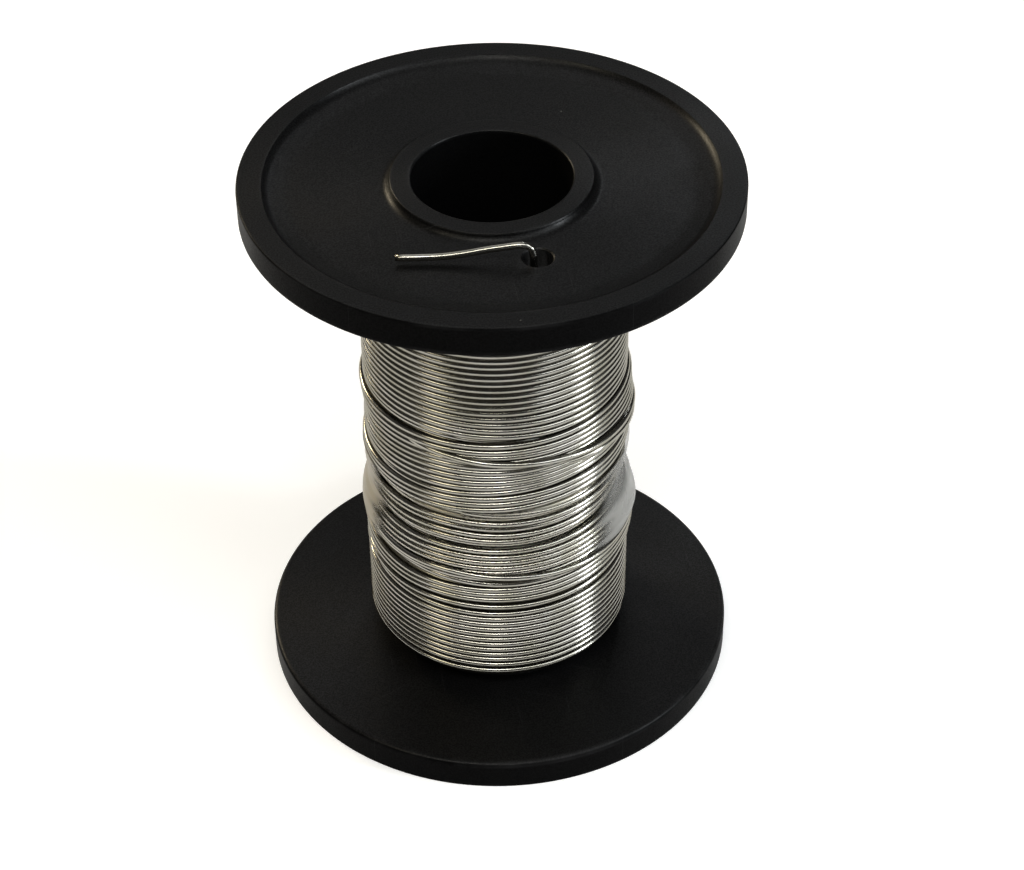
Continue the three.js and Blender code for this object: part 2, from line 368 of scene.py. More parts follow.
def gridObject(name, grid, material, wrapRows=False, wrapColumns=True, capEnds=False, **settings):
    rows, columns = grid.shape[:2]
    faces = gridQuads(rows, columns, wrapRows, wrapColumns).reshape(-1, 4).tolist()
    if capEnds:
        faces.append(list(range(columns))[::-1])
        faces.append(list(range((rows - 1) * columns, rows * columns)))
    return meshObject(name, grid.reshape(-1, 3), faces, material, **settings)


def quadValues(rows, columns, rowValues, columnValues):
    # a value pair for every corner of every quad of a tube; the seam's last quad ends at 1
    low = np.repeat(rowValues[:-1], columns)
    high = np.repeat(rowValues[1:], columns)
    here = np.tile(columnValues[:-1], rows - 1)
    there = np.tile(columnValues[1:], rows - 1)
    corners = np.stack([
        np.stack([low, here], -1), np.stack([low, there], -1),
        np.stack([high, there], -1), np.stack([high, here], -1)], 1)
    return corners.reshape(-1, 2)


def filletedOutline(corners, arcSteps=6, reach=0.25):
    # each corner (radius, height, fillet) becomes an arc that touches both straights;
    # a point is added on each straight a little way from the arc, which keeps it flat
    points = np.array([corner[:2] for corner in corners], float)
    fillets = [corner[2] for corner in corners]
    outline, shares = [], []
    for number, point in enumerate(points):
        before = points[number - 1] - point
        after = points[(number + 1) % len(points)] - point
        beforeLength, afterLength = np.linalg.norm(before), np.linalg.norm(after)
        before, after = before / beforeLength, after / afterLength
        half = math.acos(np.clip(before @ after, -1, 1)) / 2
        radius = fillets[number]
        touch = radius / math.tan(half)
        centre = point + (before + after) / np.linalg.norm(before + after) * radius / math.sin(half)
        first, last = point + before * touch, point + after * touch
        start = math.atan2(*(first - centre)[::-1])
        sweep = (math.atan2(*(last - centre)[::-1]) - start + math.pi) % turn - math.pi
        angles = start + sweep * np.linspace(0, 1, arcSteps)
        arc = centre + radius * np.stack([np.cos(angles), np.sin(angles)], -1)
        lead = min(reach, 0.3 * (beforeLength - touch))
        trail = min(reach, 0.3 * (afterLength - touch))
        outline += [[first + before * lead], arc, [last + after * trail]]
        convex = 1.0 if sweep > 0 else 0.0
        shares += [0.0] + [convex] * arcSteps + [0.0]
    return np.vstack(outline), np.array(shares)


def revolvedGrid(outline, steps, firstAngle=0.0):
    # every outline point (radius, height) carried round the axis
    angles = firstAngle + np.linspace(0, turn, steps, endpoint=False)
    radius, height = outline[:, 0] * mm, outline[:, 1] * mm
    return np.stack([
        radius[:, None] * np.cos(angles), radius[:, None] * np.sin(angles),
        np.repeat(height[:, None], steps, 1)], -1)


def zipLoops(points, outer, inner, centre):
    # triangles between two rings of points that both go once round the centre, by angle
    def ordered(loop):
        away = points[loop, :2] - centre
        angles = np.arctan2(away[:, 1], away[:, 0])
        order = np.argsort(angles)
        return np.array(loop)[order], angles[order]

    (outer, outerAngles), (inner, innerAngles) = ordered(outer), ordered(inner)
    outerTurns = np.append(outerAngles, outerAngles[0] + turn)
    innerTurns = np.append(innerAngles, innerAngles[0] + turn)
    triangles, i, j = [], 0, 0
    while i < len(outer) or j < len(inner):
        nextOuter = outerTurns[i + 1] if i < len(outer) else math.inf
        nextInner = innerTurns[j + 1] if j < len(inner) else math.inf
        here, there = int(outer[i % len(outer)]), int(inner[j % len(inner)])
        if nextOuter <= nextInner:
            i += 1
            triangles.append([here, int(outer[i % len(outer)]), there])
        else:
            j += 1
            triangles.append([here, int(inner[j % len(inner)]), there])
    return triangles


# flanges
tiny = 1e-6
flangeShape = {
    "height": 60.0,          # of the whole spool
    "radius": 25.0,
    "thickness": 3.3,
    "rimWidth": 2.5,
    "rimStep": (0.3, 0.5),   # inward and down, the steep start of the step to the web
    "rimRun": 2.4,           # from the rim's inner edge to the end of the step
    "webRecess": 0.8,
    "bore": 8.0,
    "hub": 10.0,
    "hubGap": 0.4,           # between the two hub tubes inside the barrel
    "hubLead": (0.3, 0.6),   # how far in and how long the tube's narrowed end is
    "hubFlare": 0.32,
    "edgeFillet": 0.16,
    "steps": 288,
    "holeRadius": 1.5,
    "holePlace": (4.2, -12.87),
    "holeChamfer": 0.12,
    "holeSides": 48,
    "holeRows": (11.8, 15.4),   # radii between which the faces are cut for the hole
    "holeColumns": 8,           # steps that are cut on each side of the hole
    "dullBore": (0.05, 0.4),    # the bore's wall is dull, up to a little below its lip
    "dullWall": 0.1,
    "sharpAngle": 40,
}


def flangeOutline(shape):
    # bore, hub tube, flat inner face, rim, rounded step down to the web and up to the hub's boss
    top = shape["thickness"]
    web = top - shape["webRecess"]
    rimInner = shape["radius"] - shape["rimWidth"]
    hubEnd = -(shape["height"] / 2 - top - shape["hubGap"] / 2)
    leadIn, leadLength = shape["hubLead"]
    stepIn, stepDown = shape["rimStep"]
    outline, shares = filletedOutline([
        (shape["bore"], hubEnd, 0.1),
        (shape["hub"] - leadIn, hubEnd, 0.1),
        (shape["hub"], hubEnd + leadLength, 0.2),
        (shape["hub"], 0.0, 0.25),
        (shape["radius"], 0.0, 0.42),
        (shape["radius"], top, shape["edgeFillet"]),
        (rimInner, top, 0.1),
        (rimInner - stepIn, top - stepDown, 1.2),
        (rimInner - shape["rimRun"], web, 8.0),
        (shape["hub"] + shape["hubFlare"], web, 0.85),
        (shape["hub"], top, 0.12),
        (shape["bore"], top, shape["edgeFillet"]),
    ])
    low, high = shape["holeRows"]
    for level, pair in ((0.0, (low, high)), (web, (high, low))):
        # one row just beyond each side of the hole and none between them
        flat = abs(outline[:, 1] - level) < tiny
        kept = ~(flat & (outline[:, 0] > low) & (outline[:, 0] < high))
        outline, shares, flat = outline[kept], shares[kept], flat[kept]
        first = next(
            row for row in range(len(outline) - 1) if flat[row] and flat[row + 1]
            and min(outline[row:row + 2, 0]) <= low and max(outline[row:row + 2, 0]) >= high)
        outline = np.insert(outline, first + 1, [(radius, level) for radius in pair], 0)
        shares = np.insert(shares, first + 1, [0, 0])
    return outline, shares


def holeRings(shape, centre):
    # four rings down the wire hole: chamfer, wall, wall, chamfer
    angles = np.linspace(0, turn, shape["holeSides"], endpoint=False)
    web = shape["thickness"] - shape["webRecess"]
    chamfer, narrow = shape["holeChamfer"], shape["holeRadius"]
    wide = narrow + chamfer
    rings = [(wide, 0.0), (narrow, chamfer), (narrow, web - chamfer), (wide, web)]
    circle = np.stack([np.cos(angles), np.sin(angles)], -1)
    return np.array([
        np.column_stack([centre + radius * mm * circle, np.full(len(angles), height * mm)])
        for radius, height in rings])


def makeFlange(name, node, upper):
    # the outline carried round the axis, with a patch of each face left out and joined to the hole
    shape = flangeShape
    steps, sides = shape["steps"], shape["holeSides"]
    outline, shares = flangeOutline(shape)
    radii, levels = outline.T
    centre = np.array(shape["holePlace"]) * mm
    points = revolvedGrid(outline, steps, math.atan2(centre[1], centre[0])).reshape(-1, 3)
    quads = gridQuads(len(outline), steps, wrapRows=True)
    keep = np.ones(quads.shape[:2], bool)
    columns = np.arange(-shape["holeColumns"], shape["holeColumns"] + 1)
    rings = holeRings(shape, centre)
    firstRing = len(points)
    points = np.vstack([points, rings.reshape(-1, 3)])
    extra = (gridQuads(len(rings), sides) + firstRing).reshape(-1, 4).tolist()
    low = shape["holeRows"][0]
    web = shape["thickness"] - shape["webRecess"]
    for level, ring, onward in ((0.0, 0, 1), (web, len(rings) - 1, -1)):
        atRow = (abs(levels - level) < tiny) & (abs(radii - low) < tiny)
        row = int(np.flatnonzero(atRow)[0])
        keep[min(row, row + onward), columns[:-1] % steps] = False
        lines = np.array([[row], [row + onward]])
        outer = (lines * steps + columns % steps).ravel().tolist()
        inner = list(range(firstRing + ring * sides, firstRing + (ring + 1) * sides))
        extra += zipLoops(points, outer, inner, centre)
    margin, lip = shape["dullBore"]
    inBore = (radii < shape["bore"] + margin) & (levels < shape["thickness"] - lip)
    dull = np.where(inBore | (radii > shape["radius"] - shape["dullWall"]), 1.0, 0.0)
    edge = np.append(np.repeat(shares, steps), np.full(len(rings) * sides, 0.5))
    matte = np.append(np.repeat(dull, steps), np.zeros(len(rings) * sides))
    piece = meshObject(name, points, quads[keep].tolist() + extra, flangePlastic,
                       sharpAngle=shape["sharpAngle"], shares={"edgeShare": edge, "matte": matte})
    shell = bmesh.new()
    shell.from_mesh(piece.data)
    bmesh.ops.recalc_face_normals(shell, faces=shell.faces[:])
    shell.to_mesh(piece.data)
    shell.free()
    piece.data.set_sharp_from_angle(angle=math.radians(shape["sharpAngle"]))
    lift = Matrix.Translation((0, 0, (shape["height"] - shape["thickness"]) * mm))
    if not upper:
        # the same moulding turned over
        lift = Matrix.Translation((0, 0, shape["thickness"] * mm))
        lift = lift @ Matrix.Rotation(math.pi, 4, "X")
    piece.data.transform(lift)
    piece.data.update()
    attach(piece, "root")
    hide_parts(node)


makeFlange("upperFlange", "upper_flange", True)
makeFlange("lowerFlange", "lower_flange", False)
print("flanges made")


# barrel
barrelShape = {"inner": 10.1, "outer": 12.0, "low": 3.4, "high": 56.6, "fillet": 0.15, "steps": 192,
               "sharpAngle": 40}


def makeBarrel(shape):
    # a plain tube: its wall's outline carried round the axis
    inner, outer, low, high = (shape[key] for key in ("inner", "outer", "low", "high"))
    corners = [(inner, low), (outer, low), (outer, high), (inner, high)]
    outline = filletedOutline([(*corner, shape["fillet"]) for corner in corners])[0]
    grid = revolvedGrid(outline, shape["steps"])
    piece = gridObject("barrelTube", grid, barrelPlastic, wrapRows=True,
                       sharpAngle=shape["sharpAngle"])
    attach(piece, "root")
    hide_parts("barrel")


makeBarrel(barrelShape)
print("barrel made")


# wire
wireShape = {
    "radius": 0.352,
    "steps": 120,          # points for each turn
    "sides": 12,
    "hiddenSides": 8,      # of the layer beneath
    "nip": 0.8,            # the cut ends are squeezed by this share
    "riseSpacing": 3.0,    # degrees between the points where rises are read
    "riseSpread": 18.0,    # degrees over which they are eased
    "unevenness": 0.006,   # share of the radius
    "unevenPace": 0.05,
    "heightPace": 0.9,     # how fast a loose turn wanders up and down, and in and out
    "radiusPace": 1.3,
}


def smoothTrack(positions, stations, values, spread):
    # straight lines between stations, then averaged over a window of the given spread
    track = np.interp(positions, stations, values)
    step = positions[1] - positions[0]
    window = max(3, int(round(spread / step)) | 1)
    kernel = np.hanning(window + 2)[1:-1]
    padded = np.pad(track, window // 2, mode="edge")
    return np.convolve(padded, kernel / kernel.sum(), mode="valid")


def wander(angles, seed, pace, count=5):
    # a slow seeded wander between about -1 and 1: a sum of sines of unlike lengths
    chance = np.random.default_rng(seed)
    rates = pace * (0.6 + 1.6 * chance.random(count))
    phases = turn * chance.random(count)
    return np.sin(angles[:, None] * rates + phases).sum(1) / count ** 0.5 / 1.4


def bell(values, centre, width):
    return np.exp(-((values - centre) / width) ** 2)


def azimuthOf(angles):
    # degrees from -270 to 90, so that the front and both sides lie in one run
    return (angles + 270) % 360 - 270


def lengthAlong(path):
    return np.concatenate([[0], np.cumsum(np.linalg.norm(np.diff(path, axis=0), axis=1))])


def tubeObject(name, path, material, sides, swell, creaseShade):
    # a ring of points at each point of the path: centre + radius (cos a out + sin a across)
    along = np.gradient(path, axis=0)
    along /= np.linalg.norm(along, axis=1, keepdims=True)
    out = path * [1, 1, 0]
    out -= along * (out * along).sum(1, keepdims=True)
    out /= np.linalg.norm(out, axis=1, keepdims=True)
    across = np.cross(along, out)
    angles = math.pi + turn * np.arange(sides) / sides
    width = wireShape["radius"] * swell
    width[[0, -1]] *= wireShape["nip"]
    rings = out[:, None] * np.cos(angles)[:, None] + across[:, None] * np.sin(angles)[:, None]
    grid = (path[:, None] + rings * width[:, None, None]) * mm
    uv = quadValues(len(path), sides, lengthAlong(path) * mm, np.arange(sides + 1) / sides)
    return gridObject(name, grid, material, capEnds=True, uv=("wire", uv),
                      shares={"creaseShade": np.repeat(creaseShade, sides)})


def risesAt(group, side, share):
    # columns of rises go from the group's first turn to its last, mixed by the share wound
    rises = np.array(group["rises"], float)
    around = np.arange(-270.0, 450.0, wireShape["riseSpacing"])
    stations = np.append(rises[:, 0], rises[:, 0] + 360)
    where = np.where(side < -240, side + 360, side)
    columns = rises.shape[1] - 1
    total = np.zeros(len(side))
    for number in range(columns):
        values = rises[:, 1 + number]
        eased = smoothTrack(around, stations, np.append(values, values), wireShape["riseSpread"])
        weight = np.clip(1 - abs(share * (columns - 1) - number), 0, 1)
        total += weight * np.interp(where, around, eased)
    return total


def woundPath(group):
    # height and radius are read from the turn count, then moved by what the side adds
    start, turns, ease = group["start"], group["turns"], group.get("ease", 0.3)
    count = int(turns * wireShape["steps"]) + 1
    degrees = start + np.linspace(0, turns * 360, count)
    passed = np.linspace(0, turns, count)
    angles = np.radians(degrees)
    side = azimuthOf(degrees)
    heights = np.array(group["heights"], float)
    radii = np.array(group["radii"], float)
    height = smoothTrack(passed, heights[:, 0], heights[:, 1], ease)
    radius = smoothTrack(passed, radii[:, 0], radii[:, 1], ease)
    if "rises" in group:
        height += risesAt(group, side, passed / turns)
    for centre, width, low, high, lift in group.get("lifts", []):
        middle, spread = (low + high) / 2, (high - low) / 2
        radius += lift * bell(side, centre, width) * bell(height, middle, spread)
    loose = group["loose"]
    height += loose * wander(angles, group["seed"], wireShape["heightPace"])
    radius += loose * wander(angles, group["seed"] + 1, wireShape["radiusPace"])
    radius -= wireShape["radius"]
    return np.stack([radius * np.cos(angles), radius * np.sin(angles), height], -1)


# heights and radii: [turns from the start, mm], radii to the wire's outside;
# rises: [azimuth from -270 up, then mm at even shares of the turns, from the first to the last];
# lifts: [azimuth, width, from height, to height, mm]; start: azimuth in degrees;
# creaseShade: how dark the painted shade in the creases beside a turn is;
# ease: turns over which the tracks are smoothed
windings = {
    "windingUnder": {
        "seed": 3, "creaseShade": 0.2, "start": -74, "turns": 71.5, "loose": 0.015,
        "heights": [[0, 55.9], [71.5, 5.0]],
        "radii": [[0, 13.08], [24.8, 13.15], [25.4, 13.5], [27, 13.5], [31, 13.4], [35, 13.2],
                  [37, 13.4], [41, 13.3], [45, 13.05], [50, 13.45], [58.5, 13.52], [60, 13.38],
                  [71.5, 13.38]],
        "lifts": [[-5, 38, 22.4, 25.8, -0.42]],
    },
    "windingUpper": {
        "seed": 11, "start": -50, "turns": 26.4, "loose": 0.015,
        "heights": [[0, 55.55], [14.9, 45.1], [24.9, 37.8], [25.82, 37.36], [25.9, 37.0],
                    [26.1, 36.76], [26.4, 36.6]],
        "radii": [[0, 13.72], [19, 13.7], [25.78, 13.7], [25.95, 13.42], [26.4, 13.38]],
        "rises": [[-270, 0, 0, 0, 0, 0], [-155, 0, 0, 0, 0, 0.1], [-115, 0, 0, 0, 0, 0.12],
                  [-92, 0, 0, 0, 0, 0], [-65, 0, 0, 0, 0, -0.32], [-45, 0, 0, 0, 0, -0.3],
                  [-25, 0, 0, 0, 0, 0.05], [0, 0, 0, 0, 0, 0.1], [60, 0, 0, 0, 0, 0]],
    },
    "windingMiddle": {
        "seed": 23, "start": -240, "turns": 9.9, "loose": 0.02,
        "heights": [[0, 29.9], [0.43, 30.62], [8.43, 36.02], [9.43, 36.86], [9.9, 37.15]],
        "radii": [[0, 13.2], [0.35, 13.7], [8.43, 14.03], [9.43, 14.1], [9.6, 14.05], [9.9, 13.4]],
        "rises": [[-270, 0.3, 0.2, 0.2], [-180, -0.85, -0.5, -0.1], [-155, -0.72, -0.42, -0.1],
                  [-115, -0.45, 0.02, 0.0], [-85, 0, 0, 0], [-55, 0.36, -0.05, 0.06],
                  [-25, 0.5, 0.1, 0.35], [0, 0.6, 0.3, 0.5], [60, 0.5, 0.3, 0.4]],
        "lifts": [[-2, 26, 30.4, 35.6, 0.5], [-182, 18, 32.4, 35.0, -0.35]],
    },
    "windingCrossing": {
        "seed": 31, "creaseShade": 0.3, "start": -262, "turns": 1.0, "loose": 0.01, "ease": 0.04,
        "heights": [[0, 36.4], [0.3, 35.65], [0.381, 35.52], [0.41, 35.45], [0.437, 35.27],
                    [0.464, 34.98], [0.491, 34.79], [0.518, 34.6], [0.544, 34.38], [0.57, 34.14],
                    [0.596, 33.9], [0.62, 33.76], [0.643, 33.64], [0.66, 33.5], [0.728, 32.95],
                    [0.894, 31.9], [1.0, 31.4]],
        "radii": [[0, 13.2], [0.34, 13.4], [0.385, 14.1], [0.44, 14.45], [0.5, 14.52],
                  [0.66, 14.62], [0.76, 14.5], [0.894, 14.1], [1.0, 13.2]],
    },
    "windingSecond": {
        "seed": 37, "creaseShade": 0.3, "start": -66, "turns": 0.5, "loose": 0.01, "ease": 0.04,
        "heights": [[0, 32.75], [0.05, 32.85], [0.08, 32.92], [0.1, 32.72], [0.114, 32.4],
                    [0.183, 31.6], [0.3, 30.9], [0.5, 30.3]],
        "radii": [[0, 13.4], [0.04, 14.1], [0.07, 14.45], [0.183, 14.5], [0.3, 14.2], [0.5, 13.2]],
    },
    "windingBright": {
        "seed": 41, "start": -250, "turns": 3.35, "loose": 0.012,
        "heights": [[0, 28.2], [0.458, 28.54], [1.458, 29.3], [2.458, 30.04], [3.35, 30.6]],
        "radii": [[0, 13.2], [0.3, 13.95], [3.0, 14.02], [3.35, 13.4]],
        "rises": [[-270, -0.1, -0.1], [-170, -0.5, -0.9], [-145, -0.36, -0.74],
                  [-115, -0.22, -0.36], [-85, 0, 0], [-65, 0.18, 0.18], [-45, 0.26, 0.2],
                  [-25, 0.58, 0.5], [0, 0.75, 0.65], [60, 0.1, 0.1]],
    },
    "windingTaped": {
        "seed": 53, "start": -108, "turns": 11.5, "loose": 0.02, "ease": 0.3,
        "heights": [[0, 27.3], [0.06, 27.2], [1.06, 26.26], [2.06, 25.42], [3.06, 24.59],
                    [4.06, 23.7], [5.06, 23.13], [6.06, 22.6], [7.06, 21.88], [8.06, 21.2],
                    [9.06, 20.5], [10.06, 19.8], [11.06, 19.1], [11.5, 18.8]],
        "radii": [[0, 13.3], [0.15, 13.6], [1.06, 13.75], [2.06, 13.5], [3.06, 13.62],
                  [4.06, 13.45], [5.06, 13.15], [6.06, 13.75], [7.06, 13.88], [11.2, 13.95],
                  [11.5, 13.5]],
        "rises": [[-270, 0, 0], [-180, -0.2, -0.2], [-155, -0.25, -0.2], [-135, -0.15, -0.12],
                  [-115, 0.2, -0.05], [-85, 0, 0], [-55, 0.0, 0.1], [-35, 0.25, 0.3],
                  [-10, 0.3, 0.5], [60, 0.1, 0.2]],
        "lifts": [[-5, 38, 22.4, 25.8, -0.5], [-180, 30, 22.6, 25.0, -0.25]],
    },
    "windingLoose": {
        "seed": 61, "creaseShade": 0.3, "start": -225, "turns": 0.9, "loose": 0.01, "ease": 0.04,
        "heights": [[0, 20.6], [0.12, 20.3], [0.2, 20.1], [0.253, 19.88], [0.28, 19.93],
                    [0.308, 20.03], [0.335, 19.92], [0.362, 19.7], [0.388, 19.58], [0.415, 19.39],
                    [0.442, 19.17], [0.468, 19.0], [0.493, 18.92], [0.518, 18.88], [0.541, 18.84],
                    [0.556, 18.8], [0.625, 18.5], [0.74, 17.9], [0.9, 17.4]],
        "radii": [[0, 13.3], [0.12, 14.0], [0.2, 14.25], [0.3, 14.38], [0.39, 14.48], [0.5, 14.55],
                  [0.625, 14.6], [0.74, 14.2], [0.9, 13.3]],
    },
    "windingLower": {
        "seed": 71, "start": -230, "turns": 5.3, "loose": 0.015,
        "heights": [[0, 18.5], [0.4, 18.08], [1.4, 17.56], [2.4, 16.87], [3.4, 16.2], [4.4, 15.12],
                    [5.3, 14.65]],
        "radii": [[0, 13.3], [0.15, 13.8], [0.6, 13.85], [1.3, 14.05], [4.5, 14.08], [5.1, 13.9],
                  [5.3, 13.4]],
        "rises": [[-270, 0.2, 0, 0, 0, 0, 0], [-170, 1.0, -0.1, -0.1, -0.1, -0.1, -0.1],
                  [-135, 0.8, -0.25, -0.2, -0.2, -0.15, -0.1], [-115, 0.4, -0.1, 0, 0, 0.05, 0.05],
                  [-85, 0, 0, 0, 0, 0, 0], [-55, 0, 0.05, 0.05, 0.05, 0, 0],
                  [-35, 0, 0.15, 0.2, 0.2, 0.25, 0.25], [-22, 0, 0.4, 0.5, 0.6, 0.7, 0.7],
                  [0, 0, 0.6, 0.7, 0.8, 0.9, 0.9], [60, 0, 0.3, 0.3, 0.4, 0.4, 0.4]],
        "lifts": [[0, 26, 15.6, 19.6, 0.45]],
    },
    "windingBase": {
        "seed": 83, "start": -240, "turns": 12.7, "loose": 0.012,
        "heights": [[0, 14.55], [0.43, 14.09], [1.43, 13.33], [10.43, 6.84], [11.43, 5.98],
                    [12.7, 5.15]],
        "radii": [[0, 13.5], [0.35, 14.02], [11.5, 14.04], [12.1, 13.6], [12.7, 13.4]],
        "rises": [[-270, 0.1, 0, 0, 0, 0], [-175, 0.3, 0, 0, 0, 0.3], [-145, 0.1, 0, 0, 0, 0.1],
                  [-115, 0, 0, 0, 0, -0.05], [-85, 0, 0, 0, 0, 0], [-45, -0.05, 0, 0, 0, -0.1],
                  [-25, 0.3, 0, 0, 0, -0.1], [0, 0.5, 0, 0, 0, 0], [60, 0.2, 0, 0, 0, 0]],
    },
}

joinShape = {
    "points": 400,        # along the tail
    "tailStep": 8,        # one point in so many is kept before the two are joined
    "turnStep": 6,
    "spacing": 0.62,      # mm between points after the join
    "inShare": 0.3,       # of a turn, over which the wire comes in from the hole
    "holeDistance": 13.83,
    "looseAbove": 57.5,   # height from which nothing lies beside the wire
}
# the free end from its tip, over the flange and down through the hole
tailStations = [
    (-9.2, -13.5, 59.87), (-7.2, -13.5, 59.88), (-4.9, -13.5, 59.95), (-2.6, -13.42, 60.2),
    (-0.6, -13.36, 60.55), (1.2, -13.32, 60.8), (2.4, -13.3, 60.95), (3.15, -13.3, 60.88),
    (3.6, -13.3, 60.5), (3.78, -13.3, 59.9), (3.8, -13.3, 58.4), (3.8, -13.3, 57.2),
    (3.86, -13.28, 56.5), (4.1, -13.2, 56.05), (4.7, -13.0, 55.78),
]


def splineThrough(points, steps):
    # centripetal Catmull-Rom through all the points, by the pyramid of straight mixes
    ends = [2 * points[0] - points[1], *points, 2 * points[-1] - points[-2]]
    knots = np.array(ends)
    spans = np.sqrt(np.linalg.norm(np.diff(knots, axis=0), axis=1))
    times = np.concatenate([[0], np.cumsum(spans)])
    where = np.linspace(times[1], times[-2], steps)
    first = np.clip(np.searchsorted(times, where, side="right") - 1, 1, len(points) - 1)

    def blend(low, high, lowTime, highTime):
        share = ((where - lowTime) / (highTime - lowTime))[:, None]
        return low + (high - low) * share

    t0, t1, t2, t3 = (times[first + shift] for shift in (-1, 0, 1, 2))
    p0, p1, p2, p3 = (knots[first + shift] for shift in (-1, 0, 1, 2))
    a1, a2, a3 = blend(p0, p1, t0, t1), blend(p1, p2, t1, t2), blend(p2, p3, t2, t3)
    b1, b2 = blend(a1, a2, t0, t2), blend(a2, a3, t1, t3)
    return blend(b1, b2, t1, t2)


def evenSteps(path, spacing):
    # the same line with points at even distances
    length = lengthAlong(path)
    where = np.linspace(0, length[-1], int(length[-1] / spacing))
    return np.stack([np.interp(where, length, path[:, axis]) for axis in range(3)], -1)


def joinTail(path):
    # the first part of a turn is eased in from the hole, then one line runs through tail and turns
    shape = joinShape
    share = np.clip(np.arange(len(path)) / (shape["inShare"] * wireShape["steps"]), 0, 1)[:, None]
    share = share * share * (3 - 2 * share)
    radial = np.linalg.norm(path[:, :2], axis=1, keepdims=True)
    wider = path[:, :2] / radial * (radial * share + shape["holeDistance"] * (1 - share))
    turns = np.hstack([wider, path[:, 2:]])
    tail = splineThrough(np.array(tailStations), shape["points"])
    kept = np.vstack([tail[::shape["tailStep"]], turns[1::shape["turnStep"]]])
    return evenSteps(splineThrough(kept, len(path)), shape["spacing"])


def makeWire():
    for name, group in windings.items():
        path = woundPath(group)
        material, sides = brightSolder, wireShape["sides"]
        if name == "windingUpper":
            path = joinTail(path)
        if name == "windingTaped":
            material = tapedSolder
        if name == "windingUnder":
            material, sides = shadedSolder, wireShape["hiddenSides"]
        uneven = wander(np.arange(len(path)) * wireShape["unevenPace"], group["seed"] + 2, 1.0)
        swell = 1 + wireShape["unevenness"] * uneven
        # the painted crease shade fades out above the height where nothing lies beside the wire
        creaseShade = np.clip(joinShape["looseAbove"] - path[:, 2], 0, 1) * group.get("creaseShade", 1.0)
        piece = tubeObject(name, path, material, sides, swell, creaseShade)
        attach(piece, "root")
        if name == "windingUnder":
            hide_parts("inner_windings")
        else:
            if name == "windingUpper":
                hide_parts("solder_wire")


makeWire()
print("wire wound")


# tape
tapeShape = {
    "thickness": 0.06,
    "around": 360,
    "across": 72,
    "edges": (19.35, 28.35),
    "edgeWander": ((0.25, 5, 3), (0.1, 6, 4)),   # mm, seed and pace, lower and upper edge
    "droop": {"azimuth": -170, "width": 25, "depth": 0.4},
    "sharpAngle": 60,
    # height and radius of the film where it clings
    "profile": [
        [19.2, 14.12], [20.5, 14.12], [22, 14.04], [22.8, 13.9], [23.4, 13.68], [24.2, 13.62],
        [25, 13.75], [26.3, 13.9], [27.4, 13.95], [28.4, 14.05],
    ],
    # pulls on the film: azimuth, width, height, spread, mm outward
    "pulls": [[-5, 30, 24.2, 1.5, -0.58], [-172, 26, 21.0, 2.0, 0.3]],
    # the loose flap on the right bellies out below a step in the turns
    "flap": {"azimuth": -5, "width": 30, "top": 22.7, "ease": 0.12, "out": 0.3, "belly": 0.4,
             "bellyHeight": 20.0, "bellySpread": 1.2},
    "ripple": {"size": 0.02, "around": 0.2, "up": 1.7, "azimuth": -5, "width": 40},
    # azimuths between which the film stands off and its painted milky sheen lies,
    # each with how softly it starts
    "rightLoose": ((-38, 5), (14, 8)),
    "leftLoose": ((-196, 7), (-153, 4)),
    "upperShare": 0.55,      # how milky the right side is above the step
    "ragged": ((2.5, 2.3, 0.0), (1.6, 5.1, 1.0)),   # degrees, waves per mm and phase
}


def rising(values, place, ease):
    # from 0 to 1 about the place
    return 1 / (1 + np.exp((place - values) / ease))


def between(values, fallValues, ends):
    # near 1 between the two ends, each (place, ease)
    (low, lowEase), (high, highEase) = ends
    return rising(values, low, lowEase) * rising(-fallValues, -high, highEase)


